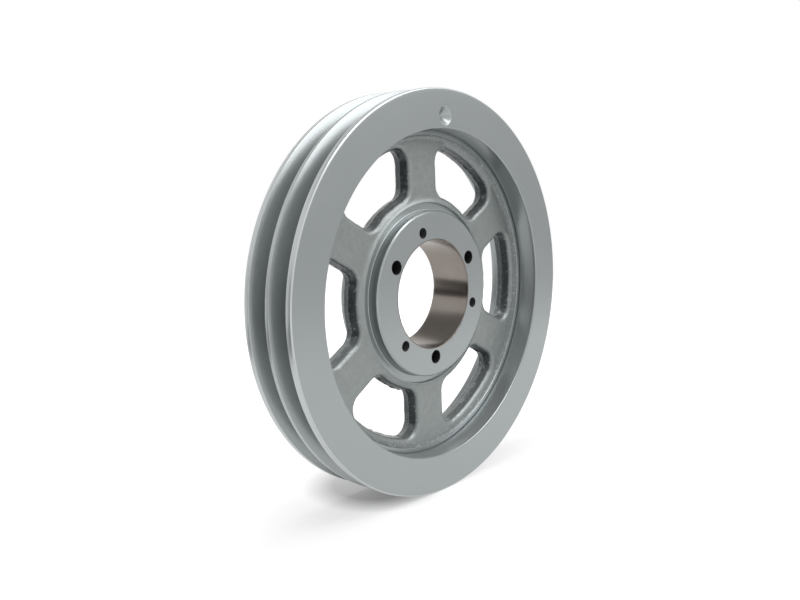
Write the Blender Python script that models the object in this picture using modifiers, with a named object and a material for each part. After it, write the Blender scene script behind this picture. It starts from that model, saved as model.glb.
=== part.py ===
"""Two-groove V-belt pulley with a six-arm cast web and a taper-bored hub.

Modelled lying on its back, front face up along +Z, about an axis empty that then turns the
pulley upright: the axis runs along Y, the front faces -Y and the origin lies on the axis,
half way across the rim.  Units are metres.
"""

import math

import bmesh
import bpy
from mathutils import Matrix

# Rim and belt grooves
RIM_DIAMETER = 0.2616
RIM_WALL = 0.00975
GROOVE_COUNT = 2
GROOVE_PITCH = 0.01746
GROOVE_TOP_WIDTH = 0.0149
GROOVE_DEPTH = 0.0150
GROOVE_ANGLE = math.radians(40.0)
EDGE_LAND = 0.0041
RIM_EDGE_BREAK = 0.0007

# Shallow drill point in the rim's front face, left by balancing
BALANCE_HOLE_DIAMETER = 0.0116
BALANCE_HOLE_INSET = 0.0080
BALANCE_HOLE_ANGLE = math.radians(91.5)
DRILL_POINT_ANGLE = math.radians(118.0)

# Hub, its taper bore and the holes for a split taper bushing
BORE_DIAMETER = 0.07144
BORE_TAPER = 1.0 / 16.0
HUB_WALL = 0.01878
HUB_FRONT_RISE = 0.0066
HUB_EDGE_CHAMFER = 0.0008
HUB_GROOVE_DEPTH = 0.0008
HUB_GROOVE_WIDTH = 0.0050
HUB_REAR_LENGTH = 0.0097
HUB_REAR_STEP = 0.0032
HOLE_INSET = 0.00635
BUSHING_HOLE_COUNT = 3
CLEARANCE_HOLE = 0.0087
CLEARANCE_HOLE_ANGLE = math.radians(32.0)
TAPPED_HOLE = 0.0068
TAPPED_HOLE_ANGLE = math.radians(107.0)

# Cast web: arms, windows, and the machined ledge and lip at its two edges
WEB_FRONT_DEPTH = 0.0168
WEB_THICKNESS = 0.0140
WEB_FILLET = 0.0060
LEDGE_RISE = 0.0024
LEDGE_WIDTH = 0.0029
LIP_RISE = 0.0011
LIP_WIDTH = 0.0004
REAR_FILLET_RISE = 0.0020
ARM_COUNT = 6
ARM_ANGLE = math.radians(33.2)
ARM_WIDTH = 0.0280
OUTER_RING_WIDTH = 0.0088
INNER_RING_WIDTH = 0.0054
WINDOW_CORNER = 0.0090
LARGEST_CORNER_SHARE = 0.4
WINDOW_LIP = 0.0035
WINDOW_DRAFT = 0.0006

# Fits and facets
SEAT_GAP = 0.0003
CUT_OVERSHOOT = 0.0040
TURN_STEPS = 96
HOLE_SIDES = 20
FILLET_STEPS = 3
CORNER_STEPS = 3
WINDOW_ARC_STEPS = 4
SMOOTH_ANGLE = math.radians(35.0)
MERGE_DISTANCE = 0.00001

# Sizes that follow from the ones above
FACE_WIDTH = GROOVE_PITCH * (GROOVE_COUNT - 1) + GROOVE_TOP_WIDTH + 2 * EDGE_LAND
FRONT = FACE_WIDTH / 2
BACK = -FACE_WIDTH / 2
RIM_BORE_RADIUS = RIM_DIAMETER / 2 - GROOVE_DEPTH - RIM_WALL
WEB_FRONT = FRONT - WEB_FRONT_DEPTH
WEB_REAR = WEB_FRONT - WEB_THICKNESS
HUB_FACE = WEB_FRONT + HUB_FRONT_RISE
HUB_REAR = WEB_REAR - HUB_REAR_LENGTH
HUB_RADIUS = BORE_DIAMETER / 2 + HUB_WALL
HUB_SEAT_RADIUS = HUB_RADIUS + HUB_GROOVE_WIDTH
HOLE_CIRCLE_RADIUS = BORE_DIAMETER / 2 + HOLE_INSET
BALANCE_HOLE_RADIUS = RIM_BORE_RADIUS + BALANCE_HOLE_INSET
WEB_OUTER_RADIUS = RIM_BORE_RADIUS - SEAT_GAP
WEB_INNER_RADIUS = HUB_SEAT_RADIUS + SEAT_GAP
WINDOW_OUTER_RADIUS = WEB_OUTER_RADIUS - OUTER_RING_WIDTH
WINDOW_INNER_RADIUS = WEB_INNER_RADIUS + INNER_RING_WIDTH
WINDOW_HEIGHT = WINDOW_OUTER_RADIUS - WINDOW_INNER_RADIUS
CORNER_RADIUS = min(WINDOW_CORNER, LARGEST_CORNER_SHARE * WINDOW_HEIGHT)


def clear_scene():
    """Remove whatever the file held before."""
    for thing in list(bpy.data.objects):
        bpy.data.objects.remove(thing, do_unlink=True)


def new_collection(name):
    """A collection linked under the scene."""
    collection = bpy.data.collections.new(name)
    bpy.context.scene.collection.children.link(collection)
    return collection


def paint(name, colour, roughness, metallic):
    """A plain Principled finish."""
    material = bpy.data.materials.new(name)
    material.use_nodes = True
    shader = material.node_tree.nodes["Principled BSDF"]
    shader.inputs["Base Color"].default_value = (*colour, 1.0)
    shader.inputs["Roughness"].default_value = roughness
    shader.inputs["Metallic"].default_value = metallic
    return material


def add_part(name, mesh, collection, axis, material):
    """One named sub-part, turned upright by the axis empty."""
    part = bpy.data.objects.new(name, mesh)
    collection.objects.link(part)
    part.parent = axis
    mesh.materials.append(material)
    return part


def add_cutter(name, mesh, collection, axis):
    """A hidden tool that is only subtracted from a part."""
    cutter = bpy.data.objects.new(name, mesh)
    collection.objects.link(cutter)
    cutter.parent = axis
    cutter.hide_render = True
    cutter.display_type = 'WIRE'
    return cutter


def cut(part, cutter):
    """Subtract a cutter with the exact solver."""
    boolean = part.modifiers.new(cutter.name, 'BOOLEAN')
    boolean.operation = 'DIFFERENCE'
    boolean.solver = 'EXACT'
    boolean.object = cutter


def turned_mesh(name, profile):
    """A closed outline of (radius, height) points, clockwise, still to be spun about Z."""
    mesh = bpy.data.meshes.new(name)
    count = len(profile)
    points = [(radius, 0.0, height) for radius, height in profile]
    edges = [(index, (index + 1) % count) for index in range(count)]
    mesh.from_pydata(points, edges, [])
    return mesh


def spin(part):
    """Turn a part's outline through a full circle about its own Z axis."""
    screw = part.modifiers.new("turned", 'SCREW')
    screw.axis = 'Z'
    screw.steps = TURN_STEPS
    screw.render_steps = TURN_STEPS
    screw.use_merge_vertices = True
    screw.merge_threshold = MERGE_DISTANCE


def settle(part):
    """Apply a part's tools, then shade it smooth with its corners kept crisp."""
    graph = bpy.context.evaluated_depsgraph_get()
    mesh = bpy.data.meshes.new_from_object(part.evaluated_get(graph))
    part.modifiers.clear()
    part.data = mesh
    mesh.shade_smooth()
    mesh.set_sharp_from_angle(angle=SMOOTH_ANGLE)


def fillet(foot_radius, foot_height, radius, rise, inwards, downwards):
    """Points of a concave cast fillet, from its foot on the web up to the given rise."""
    sweep = math.acos(1.0 - rise / radius)
    radial = -1.0 if inwards else 1.0
    vertical = -1.0 if downwards else 1.0
    points = []
    for step in range(FILLET_STEPS + 1):
        angle = sweep * step / FILLET_STEPS
        reach = radius * math.sin(angle)
        height = radius * (1.0 - math.cos(angle))
        points.append((foot_radius + radial * reach, foot_height + vertical * height))
    return points


def fillet_reach(radius, rise):
    """How far along the web a fillet of this radius runs for this rise."""
    return math.sqrt(2.0 * radius * rise - rise * rise)


def rim_profile():
    """Rim section: lands and V-grooves outside, plain bore inside."""
    outer = RIM_DIAMETER / 2
    inner = RIM_BORE_RADIUS
    edge = RIM_EDGE_BREAK
    half_top = GROOVE_TOP_WIDTH / 2
    half_root = half_top - GROOVE_DEPTH * math.tan(GROOVE_ANGLE / 2)
    points = [(outer - edge, FRONT), (outer, FRONT - edge)]
    for index in range(GROOVE_COUNT):
        middle = FRONT - EDGE_LAND - half_top - GROOVE_PITCH * index
        points.append((outer, middle + half_top))
        points.append((outer - GROOVE_DEPTH, middle + half_root))
        points.append((outer - GROOVE_DEPTH, middle - half_root))
        points.append((outer, middle - half_top))
    points += [(outer, BACK + edge), (outer - edge, BACK)]
    points += [(inner + edge, BACK), (inner, BACK + edge)]
    points += [(inner, FRONT - edge), (inner + edge, FRONT)]
    return points


def hub_profile():
    """Hub section: proud front face, shoulder groove, seat for the web, rear barrel and taper bore."""
    face = HUB_RADIUS
    chamfer = HUB_EDGE_CHAMFER
    groove_floor = WEB_FRONT - HUB_GROOVE_DEPTH
    barrel = HUB_SEAT_RADIUS - HUB_REAR_STEP
    bore_front = BORE_DIAMETER / 2
    bore_rear = bore_front - (HUB_FACE - HUB_REAR) * BORE_TAPER / 2
    points = [(face - chamfer, HUB_FACE), (face, HUB_FACE - chamfer)]
    points += [(face, groove_floor), (HUB_SEAT_RADIUS, groove_floor)]
    points += [(HUB_SEAT_RADIUS, WEB_REAR), (barrel, WEB_REAR - HUB_REAR_STEP)]
    points += [(barrel, HUB_REAR + chamfer), (barrel - chamfer, HUB_REAR)]
    points += [(bore_rear, HUB_REAR), (bore_front, HUB_FACE)]
    return points


def web_profile():
    """Web section: machined ledge by the rim, cast fillets, flat arms, lip by the hub."""
    outer = WEB_OUTER_RADIUS
    inner = WEB_INNER_RADIUS
    ledge_edge = outer - LEDGE_WIDTH
    lip_edge = inner + LIP_WIDTH
    front_outer_foot = ledge_edge - fillet_reach(WEB_FILLET, LEDGE_RISE)
    front_inner_foot = lip_edge + fillet_reach(WEB_FILLET, LIP_RISE)
    rear_outer_foot = outer - fillet_reach(WEB_FILLET, REAR_FILLET_RISE)
    points = [(outer, WEB_FRONT + LEDGE_RISE)]
    points += reversed(fillet(rear_outer_foot, WEB_REAR, WEB_FILLET, REAR_FILLET_RISE, False, True))
    points += [(inner, WEB_REAR), (inner, WEB_FRONT + LIP_RISE)]
    points += reversed(fillet(front_inner_foot, WEB_FRONT, WEB_FILLET, LIP_RISE, True, False))
    points += fillet(front_outer_foot, WEB_FRONT, WEB_FILLET, LEDGE_RISE, False, False)
    return points


def window_corner(side, ring_radius, flare, outer):
    """Centre of the round corner between an arm's flank and one of the web's rings.

    side is +1 or -1 for the arm on either hand of the window's middle line.
    """
    half_step = math.pi / ARM_COUNT
    along = (math.cos(half_step), side * math.sin(half_step))
    away = (math.sin(half_step), -side * math.cos(half_step))
    offset = ARM_WIDTH / 2 - flare + CORNER_RADIUS
    reach = ring_radius - CORNER_RADIUS if outer else ring_radius + CORNER_RADIUS
    run = math.sqrt(reach * reach - offset * offset)
    centre = (away[0] * offset + along[0] * run, away[1] * offset + along[1] * run)
    return centre, math.atan2(-away[1], -away[0]), math.atan2(centre[1], centre[0])


def arc_points(centre, radius, start, end, steps):
    """Points along an arc, turning the short way from start to end."""
    turn = (end - start + math.pi) % (2 * math.pi) - math.pi
    points = []
    for step in range(steps + 1):
        angle = start + turn * step / steps
        points.append((centre[0] + radius * math.cos(angle), centre[1] + radius * math.sin(angle)))
    return points


def window_outline(flare):
    """One window's outline about +X, widened all round by the flare."""
    outer = WINDOW_OUTER_RADIUS + flare
    inner = WINDOW_INNER_RADIUS - flare
    corner = CORNER_RADIUS
    points = []
    top_outer, top_flank, top_outer_ray = window_corner(1, outer, flare, True)
    low_outer, low_flank, low_outer_ray = window_corner(-1, outer, flare, True)
    top_inner, _, top_inner_ray = window_corner(1, inner, flare, False)
    low_inner, _, low_inner_ray = window_corner(-1, inner, flare, False)
    points += arc_points(low_outer, corner, low_flank, low_outer_ray, CORNER_STEPS)
    points += arc_points((0, 0), outer, low_outer_ray, top_outer_ray, WINDOW_ARC_STEPS)[1:-1]
    points += arc_points(top_outer, corner, top_outer_ray, top_flank, CORNER_STEPS)
    points += arc_points(top_inner, corner, top_flank, top_inner_ray + math.pi, CORNER_STEPS)
    points += arc_points((0, 0), inner, top_inner_ray, low_inner_ray, WINDOW_ARC_STEPS)[1:-1]
    points += arc_points(low_inner, corner, low_inner_ray + math.pi, low_flank, CORNER_STEPS)
    return points


def window_sections():
    """Heights down the casting with the window's flare at each: rounded lips and a little draft."""
    sections = [(WEB_FRONT + CUT_OVERSHOOT, WINDOW_LIP)]
    for step in range(FILLET_STEPS + 1):
        angle = math.pi / 2 * step / FILLET_STEPS
        sections.append((WEB_FRONT - WINDOW_LIP * (1 - math.cos(angle)), WINDOW_LIP * (1 - math.sin(angle))))
    for step in reversed(range(FILLET_STEPS)):
        angle = math.pi / 2 * step / (FILLET_STEPS - 1)
        height = WEB_REAR + WINDOW_LIP * (1 - math.cos(angle))
        sections.append((height, WINDOW_LIP * (1 - math.sin(angle)) - WINDOW_DRAFT))
    sections.append((WEB_REAR - CUT_OVERSHOOT, WINDOW_LIP - WINDOW_DRAFT))
    return sections


def window_mesh(angle):
    """Cutter for one window: outlines of unlike flare, lofted down through the web and capped."""
    form = bmesh.new()
    loops = []
    for height, flare in window_sections():
        loop = [form.verts.new((x, y, height)) for x, y in window_outline(flare)]
        loops.append(loop)
    for upper, lower in zip(loops, loops[1:]):
        count = len(upper)
        for index in range(count):
            after = (index + 1) % count
            form.faces.new((upper[index], lower[index], lower[after], upper[after]))
    form.faces.new(loops[0])
    form.faces.new(list(reversed(loops[-1])))
    bmesh.ops.rotate(form, verts=form.verts, cent=(0, 0, 0), matrix=Matrix.Rotation(angle, 3, 'Z'))
    bmesh.ops.recalc_face_normals(form, faces=form.faces)
    mesh = bpy.data.meshes.new("window")
    form.to_mesh(mesh)
    form.free()
    return mesh


def drill_mesh(diameter, angles, top, bottom):
    """Straight drills standing on the hub's hole circle."""
    form = bmesh.new()
    for angle in angles:
        place = (HOLE_CIRCLE_RADIUS * math.cos(angle), HOLE_CIRCLE_RADIUS * math.sin(angle),
                 (top + bottom) / 2)
        bmesh.ops.create_cone(form, cap_ends=True, segments=HOLE_SIDES, radius1=diameter / 2,
                              radius2=diameter / 2, depth=top - bottom, matrix=Matrix.Translation(place))
    mesh = bpy.data.meshes.new("drills")
    form.to_mesh(mesh)
    form.free()
    return mesh


def drill_point_mesh():
    """The point of a drill, its tip down, reaching above the rim's front face."""
    slope = math.tan(DRILL_POINT_ANGLE / 2)
    depth = BALANCE_HOLE_DIAMETER / 2 / slope
    height = depth + CUT_OVERSHOOT
    place = (BALANCE_HOLE_RADIUS * math.cos(BALANCE_HOLE_ANGLE),
             BALANCE_HOLE_RADIUS * math.sin(BALANCE_HOLE_ANGLE),
             FRONT - depth + height / 2)
    form = bmesh.new()
    bmesh.ops.create_cone(form, cap_ends=True, segments=HOLE_SIDES, radius1=0.0, radius2=height * slope,
                          depth=height, matrix=Matrix.Translation(place))
    mesh = bpy.data.meshes.new("drill_point")
    form.to_mesh(mesh)
    form.free()
    return mesh


def build_rim(parts, cutters, axis):
    """Grooved rim with its balance hole."""
    finish = paint("rim_paint", (0.31, 0.335, 0.34), 0.42, 0.0)
    rim = add_part("grooved_rim", turned_mesh("grooved_rim", rim_profile()), parts, axis, finish)
    spin(rim)
    cut(rim, add_cutter("balance_hole_cutter", drill_point_mesh(), cutters, axis))
    settle(rim)


def build_web(parts, cutters, axis):
    """Cast web: a turned disc with six windows cut between the arms."""
    finish = paint("web_paint", (0.29, 0.315, 0.315), 0.55, 0.0)
    web = add_part("arm_web", turned_mesh("arm_web", web_profile()), parts, axis, finish)
    spin(web)
    arm_step = 2 * math.pi / ARM_COUNT
    for index in range(ARM_COUNT):
        angle = ARM_ANGLE + arm_step * (index + 0.5)
        cut(web, add_cutter(f"window_cutter_{index + 1}", window_mesh(angle), cutters, axis))
    settle(web)


def build_hub(parts, cutters, axis):
    """Taper-bored hub with three clearance holes and three tapped holes."""
    finish = paint("hub_paint", (0.31, 0.335, 0.34), 0.40, 0.0)
    hub = add_part("taper_hub", turned_mesh("taper_hub", hub_profile()), parts, axis, finish)
    spin(hub)
    hole_step = 2 * math.pi / BUSHING_HOLE_COUNT
    top = HUB_FACE + CUT_OVERSHOOT
    bottom = HUB_REAR - CUT_OVERSHOOT
    for name, diameter, first in (("clearance_hole_cutter", CLEARANCE_HOLE, CLEARANCE_HOLE_ANGLE),
                                  ("tapped_hole_cutter", TAPPED_HOLE, TAPPED_HOLE_ANGLE)):
        angles = [first + hole_step * index for index in range(BUSHING_HOLE_COUNT)]
        drills = drill_mesh(diameter, angles, top, bottom)
        cut(hub, add_cutter(name, drills, cutters, axis))
    settle(hub)


def main():
    clear_scene()
    parts = new_collection("v_belt_pulley")
    cutters = new_collection("cutters")
    axis = bpy.data.objects.new("pulley_axis", None)
    parts.objects.link(axis)
    axis.rotation_euler = (math.pi / 2, 0.0, 0.0)
    build_rim(parts, cutters, axis)
    build_web(parts, cutters, axis)
    build_hub(parts, cutters, axis)


main()
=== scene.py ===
# %% [markdown]
# # Dressing a V-belt pulley
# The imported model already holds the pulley's solids at their real size: a grooved rim, a cast
# web with six arms, and a taper-bored hub. This lesson gives each of them a fine surface and a
# finish, lights them as a studio would, and looks at them through the photograph's camera.
# Loading the frame comes first, because every size below is read from it or fits against it.

# %% Load the frame
import itertools
import math

import bmesh
import bpy
import mathutils
import numpy as np
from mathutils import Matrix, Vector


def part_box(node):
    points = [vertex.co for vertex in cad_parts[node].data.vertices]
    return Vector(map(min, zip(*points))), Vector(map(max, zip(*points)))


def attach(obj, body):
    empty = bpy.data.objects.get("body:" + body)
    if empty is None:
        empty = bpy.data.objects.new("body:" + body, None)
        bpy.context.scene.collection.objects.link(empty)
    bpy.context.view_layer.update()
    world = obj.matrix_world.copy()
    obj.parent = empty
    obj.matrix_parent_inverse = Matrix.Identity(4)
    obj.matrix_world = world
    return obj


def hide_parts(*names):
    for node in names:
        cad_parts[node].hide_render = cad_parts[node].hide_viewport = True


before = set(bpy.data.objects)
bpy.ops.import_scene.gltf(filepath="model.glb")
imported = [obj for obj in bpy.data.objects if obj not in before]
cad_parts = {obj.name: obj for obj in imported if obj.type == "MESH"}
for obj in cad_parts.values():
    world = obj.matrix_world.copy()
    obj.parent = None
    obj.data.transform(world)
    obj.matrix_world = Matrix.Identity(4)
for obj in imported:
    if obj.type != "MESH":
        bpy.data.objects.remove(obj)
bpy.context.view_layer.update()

# %% [markdown]
# ## Sizes taken from the solids
# The axis of the pulley is the Y axis and its front faces -Y. It is easier to think of heights
# that count forwards, towards the viewer, so a height here is -y. The outer sizes come from the
# boxes of the solids. The smaller ones are written down as named values in millimetres.

# %% Read the main sizes
MM = 0.001
rim_low, rim_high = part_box("grooved_rim")
web_low, web_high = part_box("arm_web")
hub_low, hub_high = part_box("taper_hub")
RIM_RADIUS = rim_high.x
RIM_FRONT = -rim_low.y
RIM_BACK = -rim_high.y
WEB_LEDGE = -web_low.y
WEB_REAR_EDGE = -web_high.y
HUB_FACE = -hub_low.y
HUB_REAR = -hub_high.y
SEAT_GAP = 0.3 * MM
RIM_BORE = web_high.x + SEAT_GAP
HUB_SEAT = hub_high.x + SEAT_GAP
print(f"rim radius {RIM_RADIUS / MM:.1f}, bore {RIM_BORE / MM:.2f}, hub seat {HUB_SEAT / MM:.2f} mm")

# %% [markdown]
# ## Tools for turned surfaces
# A lathe makes most of this part, and a turned surface is a section carried round the axis.
# The section is drawn as a few corners. Real corners are never quite sharp, so each one is
# rounded with an arc before the section is carried round, and long straight runs get extra
# points so that the shading stays even. A Screw modifier could turn the section too, but with
# the points in an array the dimple and the casting's roughness can be pressed into them.

# %% Sections and grids
ARC_STEPS = 6


def rounded(corners, radii):
    """An open line with its inner corners rounded.

    The arc's centre lies on the corner's bisector, radius / sin(half angle) away from the corner,
    and the arc starts and ends radius / tan(half angle) along the two sides.
    """
    corners = np.asarray(corners, float)
    radii = np.asarray(radii, float)
    middle = corners[1:-1]
    back = corners[:-2] - middle
    ahead = corners[2:] - middle
    back /= np.linalg.norm(back, axis=1, keepdims=True)
    ahead /= np.linalg.norm(ahead, axis=1, keepdims=True)
    half = np.arccos(np.clip((back * ahead).sum(1), -1, 1)) / 2
    bisector = back + ahead
    bisector /= np.linalg.norm(bisector, axis=1, keepdims=True)
    centre = middle + bisector * (radii / np.sin(half))[:, None]
    run = (radii / np.tan(half))[:, None]
    first = middle + back * run - centre
    last = middle + ahead * run - centre
    start = np.arctan2(first[:, 1], first[:, 0])
    sweep = (np.arctan2(last[:, 1], last[:, 0]) - start + np.pi) % (2 * np.pi) - np.pi
    angle = start[:, None] + sweep[:, None] * np.linspace(0, 1, ARC_STEPS + 1)
    arcs = centre[:, None] + radii[:, None, None] * np.stack([np.cos(angle), np.sin(angle)], -1)
    return np.vstack([corners[:1], arcs.reshape(-1, 2), corners[-1:]])


def spaced(line, spacing):
    """The same line with every run cut into equal steps no longer than the spacing."""
    step = np.diff(line, axis=0)
    counts = np.maximum(1, np.ceil(np.linalg.norm(step, axis=1) / spacing)).astype(int)
    run = np.repeat(np.arange(len(step)), counts)
    within = np.arange(counts.sum()) - np.repeat(np.cumsum(counts) - counts, counts)
    points = line[run] + step[run] * (within / counts[run])[:, None]
    return np.vstack([points, line[-1:]])


def upright(across, up, height):
    """Points from a plan seen from the front (across, up) and a height towards the viewer."""
    across, up, height = np.broadcast_arrays(across, up, height)
    return np.stack([across, -height, up], -1)


def turned(section, angles):
    """Carry a section of (radius, height) points round the axis: x = r cos a, z = r sin a, y = -h."""
    radius = section[None, :, 0]
    angle = np.asarray(angles)[:, None]
    return upright(radius * np.cos(angle), radius * np.sin(angle), section[None, :, 1])


print("a square corner becomes", len(rounded([(0, 0), (1, 0), (1, 1)], [0.2])), "points")

# %% [markdown]
# ## From grids to a mesh
# Each surface is a grid of points. Neighbouring points make four-sided faces, and a grid that
# runs round the axis is joined to its own start. A piece may need several grids, such as a face
# with holes and the wall around it. They are put into one mesh, welded where their edges meet,
# and their faces are turned outwards.

# %% Weld grids into a piece
WELD = 0.004 * MM
CRISP = math.radians(40)


def grid_faces(rows, columns, wrap_rows, wrap_columns):
    """Corner numbers of the faces between neighbouring grid points, wrapping where asked."""
    row = np.arange(rows if wrap_rows else rows - 1)[:, None]
    column = np.arange(columns if wrap_columns else columns - 1)[None, :]
    next_row = (row + 1) % rows
    next_column = (column + 1) % columns
    corners = [row * columns + column, next_row * columns + column,
               next_row * columns + next_column, row * columns + next_column]
    return np.stack(np.broadcast_arrays(*corners), -1).reshape(-1, 4)


def make_piece(name, grids, finishes, node):
    """One object from (points, wrap rows, wrap columns, finish number, mark) grids, standing for a solid.

    The mark is a number from 0 to 1 at every point, kept as an attribute that a finish can read.
    """
    points, faces, finish, marks = [], [], [], []
    count = 0
    for grid, wrap_rows, wrap_columns, number, mark in grids:
        new_faces = grid_faces(grid.shape[0], grid.shape[1], wrap_rows, wrap_columns) + count
        points.append(grid.reshape(-1, 3))
        faces.append(new_faces)
        finish.append(np.full(len(new_faces), number))
        marks.append(np.broadcast_to(mark, grid.shape[:2]).ravel())
        count += grid.shape[0] * grid.shape[1]
    mesh = bpy.data.meshes.new(name)
    mesh.from_pydata(np.vstack(points), [], np.vstack(faces))
    mesh.polygons.foreach_set("material_index", np.concatenate(finish).astype(np.int32))
    mark_layer = mesh.attributes.new("mark", 'FLOAT', 'POINT')
    mark_layer.data.foreach_set("value", np.concatenate(marks).astype(np.float32))
    for material in finishes:
        mesh.materials.append(material)
    form = bmesh.new()
    form.from_mesh(mesh)
    bmesh.ops.remove_doubles(form, verts=form.verts, dist=WELD)
    bmesh.ops.recalc_face_normals(form, faces=form.faces)
    edges = sum(1 for edge in form.edges if not edge.is_manifold)
    form.to_mesh(mesh)
    form.free()
    mesh.shade_smooth()
    mesh.set_sharp_from_angle(angle=CRISP)
    piece = bpy.data.objects.new(name, mesh)
    bpy.context.scene.collection.objects.link(piece)
    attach(piece, "root")
    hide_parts(node)
    print(f"{name}: {len(mesh.polygons)} faces, {edges} loose edges")


# %% [markdown]
# ## Writing shaders as expressions
# A material is a graph of nodes, and long graphs are hard to read as code. A small class wraps
# one socket, so that sums and products of sockets read like ordinary arithmetic and add the Math
# nodes by themselves. Every other node comes from one method.

# %% A socket that can do arithmetic


class Shade:
    """A socket in a material. Arithmetic on it adds Math nodes; node() adds any other node."""

    def __init__(self, tree, socket=None):
        self.tree = tree
        self.socket = socket

    def feed(self, slot, value):
        """Link a Shade into a slot, or set a plain value on it."""
        if isinstance(value, Shade):
            self.tree.links.new(value.socket, slot)
        else:
            slot.default_value = value

    def node(self, kind, settings=None, inputs=None, output=0):
        """Any node: its type, its settings, set first, and the values or links of its sockets."""
        made = self.tree.nodes.new(kind)
        for name, value in (settings or {}).items():
            setattr(made, name, value)
        for name, value in (inputs or {}).items():
            self.feed(made.inputs[name], value)
        return Shade(self.tree, made.outputs[output])

    def maths(self, operation, first, second=0.0, clamp=False):
        settings = {"operation": operation, "use_clamp": clamp}
        return self.node("ShaderNodeMath", settings, {0: first, 1: second})

    def __add__(self, other):
        return self.maths("ADD", self, other)

    def __radd__(self, other):
        return self.maths("ADD", other, self)

    def __sub__(self, other):
        return self.maths("SUBTRACT", self, other)

    def __rsub__(self, other):
        return self.maths("SUBTRACT", other, self)

    def __mul__(self, other):
        return self.maths("MULTIPLY", self, other)

    def __rmul__(self, other):
        return self.maths("MULTIPLY", other, self)

    def __pow__(self, other):
        return self.maths("POWER", self, other)


def new_finish(name):
    """An empty Principled material: the material, its shader node and a Shade to write with."""
    material = bpy.data.materials.new(name)
    material.use_nodes = True
    return material, material.node_tree.nodes["Principled BSDF"], Shade(material.node_tree)


def mixed(shade, factor, first, second):
    """A blend of two colours, through a Mix node so that neither turns grey."""
    sockets = {"Factor": factor, 6: first, 7: second}
    return shade.node("ShaderNodeMix", {"data_type": 'RGBA'}, sockets, output=2)


def grain(shade, vector, scale, detail, roughness=0.5):
    """Fractal noise from 0 to 1; the scale is in cells per metre."""
    sockets = {"Vector": vector, "Scale": scale, "Detail": detail, "Roughness": roughness}
    return shade.node("ShaderNodeTexNoise", {"noise_dimensions": '3D'}, sockets)


def place_on_part(shade):
    """Where a point lies on the part, in metres from the part's origin."""
    return shade.node("ShaderNodeTexCoord", output=3)


def axes_of(shade, position):
    """The position's three coordinates as numbers."""
    return [shade.node("ShaderNodeSeparateXYZ", None, {0: position}, output=axis) for axis in range(3)]


def round_the_axis(shade, position):
    """A point's distance from the axis, sqrt(x^2 + z^2), and its depth along the axis."""
    across, along, up = axes_of(shade, position)
    return (across * across + up * up) ** 0.5, along


def tool_marks(shade, position, marks_per_metre, detail):
    """Noise of the distance from the axis and the depth only, so it forms rings like a tool's."""
    radius, along = round_the_axis(shade, position)
    track = shade.node("ShaderNodeCombineXYZ", None, {0: radius, 1: along})
    return grain(shade, track, marks_per_metre, detail)


def dress(shade, shader, tone, roughness, metallic):
    """Give a finish its colour, its roughness and its share of metal."""
    shade.feed(shader.inputs["Base Color"], tone)
    shade.feed(shader.inputs["Roughness"], roughness)
    shade.feed(shader.inputs["Metallic"], metallic)


def emboss(shade, shader, height, strength, depth):
    """Bend the light on a finish as bumps of some depth would."""
    sockets = {"Strength": strength, "Distance": depth, "Height": height}
    shade.feed(shader.inputs["Normal"], shade.node("ShaderNodeBump", None, sockets))


print("shader tools ready")

# %% [markdown]
# ## Grey enamel on turned iron
# The rim and hub were turned on a lathe and then sprayed with a grey machinery enamel. The paint
# is satin and slightly metallic: it mirrors the pale table in its lower half and the dim room in
# its upper half. Faint rings of the tool still show through, so the bump follows the radius and
# the depth only. The tone wanders by a few percent, as sprayed paint does. On the lands and their
# outer edges the paint is lighter, rubbed and with a painted highlight, and on the narrow ridge
# between the grooves half as much.

# %% Enamel on turned surfaces
ENAMEL = (0.386, 0.411, 0.413, 1.0)
ENAMEL_THIN = (0.362, 0.388, 0.392, 1.0)
# Lighter tone on the lands, outer edges and ridge: rubbed paint with a painted highlight.
ENAMEL_RUBBED_AND_HIGHLIGHT = (0.560, 0.590, 0.590, 1.0)
RUB_HIGHLIGHT_DEPTH = 0.45 * MM
RUB_HIGHLIGHT_EDGE = 0.65 * MM
RUB_HIGHLIGHT_SOFT = 0.3 * MM
OUTER_LAND = 18.5 * MM
RIDGE_HALF = 3.0 * MM
RIDGE_LESS = 0.5
CLOUD_SCALE = 28.0
SPECK_SCALE = 900.0
TURNING_SCALE = 520.0
TURNING_STRENGTH = 0.35
TURNING_DEPTH = 0.03 * MM
ENAMEL_ROUGHNESS = 0.285
ENAMEL_METALLIC = 0.75


def rubbed_and_highlit_rim(shade, position):
    """1 on the rim's outer circle, fading to 0 a little below it.

    The fade reaches deeper at the outer edges, and the ridge gets only a share of it.
    """
    radius, along = round_the_axis(shade, position)
    below = RIM_RADIUS - radius
    off_middle = shade.maths("ABSOLUTE", along)
    depth = RUB_HIGHLIGHT_DEPTH + RUB_HIGHLIGHT_EDGE * shade.maths("GREATER_THAN", off_middle, OUTER_LAND)
    on_ridge = shade.maths("LESS_THAN", off_middle, RIDGE_HALF)
    rubbed_and_highlit = shade.maths("MULTIPLY", depth - below, 1 / RUB_HIGHLIGHT_SOFT, clamp=True)
    return rubbed_and_highlit * (1 - RIDGE_LESS * on_ridge)


def turned_enamel():
    """Sprayed grey paint over a lathe-turned surface."""
    material, shader, shade = new_finish("turned_enamel")
    position = place_on_part(shade)
    clouds = grain(shade, position, CLOUD_SCALE, 2.0)
    specks = grain(shade, position, SPECK_SCALE, 2.0)
    rings = tool_marks(shade, position, TURNING_SCALE, 2.0)
    tone = mixed(shade, clouds, ENAMEL_THIN, ENAMEL)
    # Rubbed paint and a painted highlight on the lands and outer edges, and half as much on the ridge.
    tone = mixed(shade, rubbed_and_highlit_rim(shade, position), tone, ENAMEL_RUBBED_AND_HIGHLIGHT)
    dress(shade, shader, tone, ENAMEL_ROUGHNESS + 0.03 * clouds + 0.02 * specks, ENAMEL_METALLIC)
    emboss(shade, shader, rings, TURNING_STRENGTH, TURNING_DEPTH)
    return material


TURNED_ENAMEL = turned_enamel()
print("finish:", TURNED_ENAMEL.name)

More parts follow.
